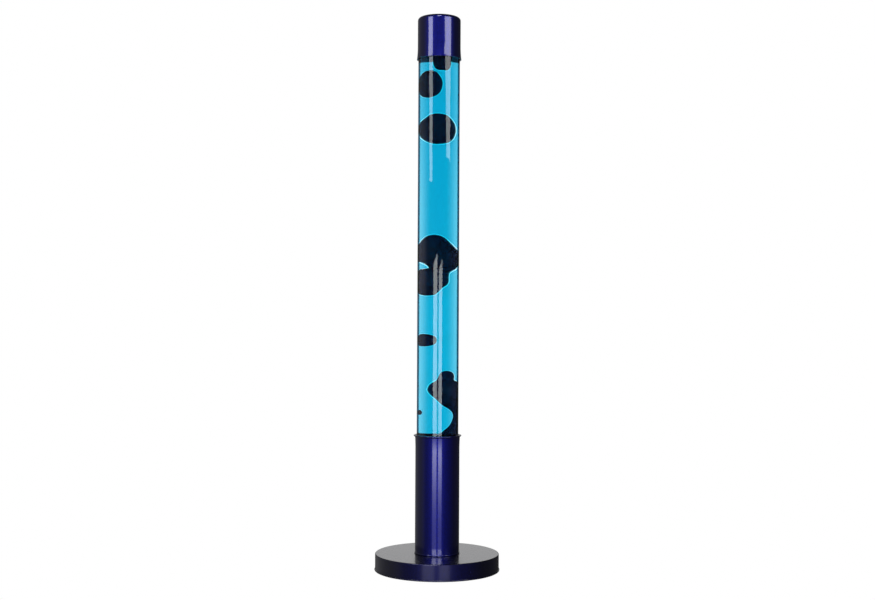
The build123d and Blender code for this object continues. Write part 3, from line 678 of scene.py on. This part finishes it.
def make_wax():
    """The wax as it hangs and rises: seven shapes, each from its two outlines."""
    wax_shape(
        "crown_wax",
        "wax_crown",
        "wax_crown_body",
        [(3, 686), (8.5, 686.3), (11.6, 690), (12.8, 695), (13, 702), (11.5, 712), (4, 720)],
        [(3, 686), (-1.5, 686.8), (-4.8, 690), (-6.5, 695), (-6.6, 702), (-4.5, 713), (4, 720)],
        1.05,
    )
    wax_shape(
        "upper_wax",
        "wax_upper",
        "wax_upper_body",
        [
            (-11, 648.8), (-5.3, 650.3), (-1.5, 652.5), (1.6, 656.2), (3.7, 662), (4.5, 669),
            (3.4, 675.5), (0.6, 681), (-3, 685), (-9, 687),
        ],
        [
            (-11, 648.8), (-16.6, 650.2), (-20, 653.5), (-22.4, 660), (-22.9, 668), (-22, 675),
            (-19.7, 681), (-15.5, 685.3), (-9, 687),
        ],
        0.95,
    )
    wax_shape(
        "middle_wax",
        "wax_middle",
        "wax_middle_body",
        [
            (-1, 584.6), (7, 585.8), (12, 588.5), (16.2, 594), (18.5, 602), (18.5, 609),
            (16.8, 615.5), (12.8, 622), (7.5, 626.8), (-1.5, 628.6),
        ],
        [
            (-1, 584.6), (-8, 585.8), (-14, 589.2), (-19.3, 594.5), (-22.2, 601.5), (-22.4, 608),
            (-20.3, 616), (-15, 622.2), (-9, 627), (-1.5, 628.6),
        ],
        0.98,
    )
    wax_shape(
        "pair_wax",
        "wax_pair",
        "wax_pair_body",
        [
            (-9, 377.3), (-3.5, 378.4), (0.5, 382), (5, 387.5), (9.8, 392), (11.8, 397),
            (12, 404), (12.6, 408.9), (16.5, 412), (20, 416), (23, 423), (23.6, 432),
            (21.5, 439.5), (17.5, 445.8), (12, 452.6), (6, 459), (-3.4, 462.7),
        ],
        [
            (-9, 377.3), (-16, 377.7), (-22, 381.5), (-24, 390), (-23.8, 402), (-22.6, 412),
            (-19.5, 414.6), (-12.5, 415.3), (-10.8, 416.6), (-13.5, 419.4), (-18, 422.6),
            (-22.5, 426.5), (-24, 435), (-22.3, 446), (-18, 454.8), (-12, 460.5), (-3.4, 462.7),
        ],
    )
    wax_shape(
        "small_wax",
        "wax_small",
        "wax_small_body",
        [
            (-14, 307.9), (-8, 308.5), (-3.6, 310.6), (-1.2, 314), (-0.9, 318.5), (-2.4, 322),
            (-6.5, 324.8), (-13, 326.2),
        ],
        [(-14, 307.9), (-19.5, 308.6), (-23.2, 312), (-24, 317), (-22.8, 322), (-19, 325.4), (-13, 326.2)],
        0.8,
    )
    wax_shape(
        "droplet_wax",
        "wax_droplet",
        "wax_droplet_body",
        [(-19.4, 214.3), (-17.2, 215.2), (-16, 217.7), (-17.2, 220.2), (-19.4, 221.2)],
        [(-19.4, 214.3), (-21.7, 215.2), (-22.8, 217.7), (-21.7, 220.2), (-19.4, 221.2)],
    )
    wax_shape(
        "rising_wax",
        "wax_pool",
        "filled_bottle",
        [
            (0, 161.1), (21, 161.2), (25.3, 164), (25.9, 170), (25.9, 180), (25.4, 190),
            (24.9, 205), (24.9, 225), (24.6, 245), (22.8, 257), (20, 261), (17.6, 263),
            (17.8, 267), (16.8, 271.5), (13.5, 274.7), (8.5, 275.7),
        ],
        [
            (0, 161.1), (-21, 161.2), (-25.3, 164), (-25.9, 170), (-25.8, 178), (-23.5, 181),
            (-16, 182.7), (-7, 184.6), (1, 188.8), (6.5, 194.5), (11.3, 199.7), (14.6, 206),
            (16, 213), (15, 217.8), (11, 222.3), (5.5, 226.3), (1, 231), (-4, 237), (-8.6, 241.8),
            (-11.4, 247.6), (-10.8, 253.3), (-7.5, 258.6), (-1.8, 263), (0.6, 269), (3.6, 273.8),
            (8.5, 275.7),
        ],
        sway=0.0,
        levels=150,
    )


make_column()
make_cap()
make_bottle()
make_liquid()
make_wax()


# ---- Studio -------------------------------------------------------------------------------------
def make_floor():
    """A plain white floor that stays out of the reflections."""
    shape = bmesh.new()
    bmesh.ops.create_grid(shape, x_segments=8, y_segments=8, size=6.0)
    floor = finish_mesh("studio_floor", shape)
    floor.location.z = -0.2 * MM
    material, nodes = new_material("floor_white")
    bright = nodes.add("ShaderNodeEmission", Color=colour(1, 1, 1), Strength=1.0)
    surface_of(nodes, bright.outputs[0])
    floor.data.materials.append(material)
    floor.visible_glossy = False
    floor.visible_shadow = False


CARD_DISTANCE = 1.5  # from the lamp's axis


def hang(light, place, turn):
    """Hangs a light where the camera doesn't see it, directly or through glass."""
    holder = add_object(light.name, light)
    holder.location = place
    holder.rotation_euler = turn
    holder.visible_camera = False
    holder.visible_transmission = False
    return holder


def card(name, azimuths, heights, radiance, shade, only=None):
    """A soft light card that faces the lamp's axis.

    azimuths, in degrees, run from the front, positive to the right, and heights are in metres;
    shade(nodes, across, up) gives the card's brightness over its own face, where across and up go
    from 0 to 1; only is the one piece that it lights.
    """
    middle = math.radians(sum(azimuths) / 2)
    half_angle = math.radians((azimuths[1] - azimuths[0]) / 2)
    wide = 2 * CARD_DISTANCE * math.tan(half_angle)
    tall = heights[1] - heights[0]
    light = bpy.data.lights.new(name, "AREA")
    light.shape = "RECTANGLE"
    light.size = wide
    light.size_y = tall
    light.energy = radiance * math.pi * wide * tall
    light.use_nodes = True
    nodes = Nodes(light.node_tree)
    face = nodes.add("ShaderNodeNewGeometry").outputs["Parametric"]
    across, up, _ = nodes.add("ShaderNodeSeparateXYZ", Vector=face).outputs
    glow = nodes.add("ShaderNodeEmission", Strength=shade(nodes, across, up))
    output = nodes.tree.nodes.new("ShaderNodeOutputLight")
    nodes.tree.links.new(glow.outputs[0], output.inputs[0])
    across_axis = CARD_DISTANCE * math.sin(middle)
    in_front = -CARD_DISTANCE * math.cos(middle)
    holder = hang(light, (across_axis, in_front, sum(heights) / 2), (math.pi / 2, 0, middle))
    if only:
        receivers = bpy.data.collections.new(name + "_receivers")
        receivers.objects.link(only)
        holder.light_linking.receiver_collection = receivers


def slanted(low_edge, high_edge, start, end):
    """A shade bright past an edge across the card, which leans over as it goes up.

    The edge goes from low_edge to high_edge, as shares of the width, between the heights start and end.
    """

    def shade(nodes, across, up):
        edge = nodes.ramp(up, low_edge, high_edge, start, end)
        return nodes.ramp(nodes.math("SUBTRACT", across, edge), 0.0, 1.0, -0.03, 0.03)

    return shade


def make_lights():
    """A high and a low card each side of the camera, a faint wall left of the bottle, a lamp overhead."""
    card("high_left", (-60, -35), (0.69, 1.35), 4.6, slanted(0.35, 0.0, 0.0, 0.8))
    card("high_right", (27, 65), (0.75, 1.35), 4.2, slanted(0.38, 0.0, 0.0, 0.8))

    def fading(nodes, across, up):
        """Dim at the foot, and cut off on a slant at the head."""
        tip = nodes.math("MULTIPLY_ADD", across, -0.03, 0.03)
        head = nodes.ramp(nodes.math("ADD", up, tip), 1.0, 0.0, 0.995, 1.005)
        return nodes.math("MULTIPLY", head, nodes.ramp(up, 0.09, 1.0, 0.20, 0.58))

    card("low_left", (-26, -4.5), (-0.35, 0.51), 5.3, fading)
    card("low_right", (3.8, 22.5), (-0.35, 0.495), 5.3, fading)

    def wall_shade(nodes, across, up):
        """Fades to nothing across the card, and to a fifth up it."""
        sideways = nodes.ramp(across, 1.0, 0.0, 0.55, 0.98)
        upwards = nodes.ramp(up, 1.0, 0.2, 0.55, 0.8)
        return nodes.math("MULTIPLY", sideways, upwards)

    bottle = bpy.data.objects["bottle_glass_body"]
    card("left_wall", (-128, -60), (-0.4, 1.3), 0.3, wall_shade, bottle)
    light = bpy.data.lights.new("overhead", "AREA")
    light.shape = "SQUARE"
    light.size = 0.7
    radiance = 9.5
    light.energy = radiance * math.pi * light.size**2
    hang(light, (0, -1.9, 2.2), (math.radians(50), 0, 0))


def make_world():
    """White to the eye and through glass; in reflections a dim room, paler at the back and on the left.

    azimuth is in radians, from 0 straight behind the lamp to pi at the front.
    """
    world = bpy.data.worlds.new("studio")
    bpy.context.scene.world = world
    world.use_nodes = True
    nodes = Nodes(world.node_tree)
    direction = nodes.add("ShaderNodeTexCoord").outputs["Generated"]
    across, ahead, up = nodes.add("ShaderNodeSeparateXYZ", Vector=direction).outputs
    azimuth = nodes.math("ABSOLUTE", nodes.math("ARCTAN2", across, ahead))
    behind = nodes.ramp(azimuth, 1.0, 0.0, 0.15, 0.40)
    wall_foot = nodes.ramp(up, 0.0, 1.0, 0.04, 0.12)
    wall_head = nodes.ramp(up, 1.0, 0.0, 0.45, 0.75)
    above = nodes.math("MULTIPLY", wall_foot, wall_head)
    wall = nodes.math("MULTIPLY", nodes.math("MULTIPLY", behind, above), 0.68)
    left = nodes.ramp(nodes.math("MULTIPLY", across, -1.0), 0.0, 1.0, 0.2, 0.5)
    side = nodes.math("MULTIPLY_ADD", left, nodes.ramp(azimuth, 0.11, 0.02, 1.75, 2.10), 0.035)
    room = nodes.math("MAXIMUM", wall, side)
    path = nodes.add("ShaderNodeLightPath")
    seen = nodes.math("MAXIMUM", path.outputs["Is Camera Ray"], path.outputs["Is Transmission Ray"])
    mirrored = nodes.math("MULTIPLY", path.outputs["Is Glossy Ray"], room)
    lit = nodes.math("MULTIPLY", path.outputs["Is Diffuse Ray"], 0.5)
    dimmed = nodes.math("MULTIPLY", nodes.math("SUBTRACT", 1.0, seen), nodes.math("ADD", mirrored, lit))
    strength = nodes.math("ADD", seen, dimmed)
    background = nodes.add("ShaderNodeBackground", Color=colour(1, 1, 1), Strength=strength)
    output = nodes.tree.nodes.new("ShaderNodeOutputWorld")
    nodes.tree.links.new(background.outputs[0], output.inputs[0])


def make_camera():
    """The camera: 1.76 m in front of the lamp, a little below its middle, with a trace of roll."""
    camera = bpy.data.cameras.new("camera")
    camera.lens = 52.7
    camera.sensor_width = 36.0
    camera.shift_y = 0.0206
    camera.clip_start = 0.05
    camera.clip_end = 50.0
    place = Matrix.Translation((-0.0007, -1.762, 0.3474))
    turn = Matrix.Rotation(math.radians(90), 4, "X") @ Matrix.Rotation(math.radians(0.26), 4, "Z")
    stand = add_object("camera", camera)
    stand.matrix_world = place @ turn
    bpy.context.scene.camera = stand


make_floor()
make_lights()
make_world()
make_camera()
bpy.context.scene.view_settings.view_transform = "Standard"
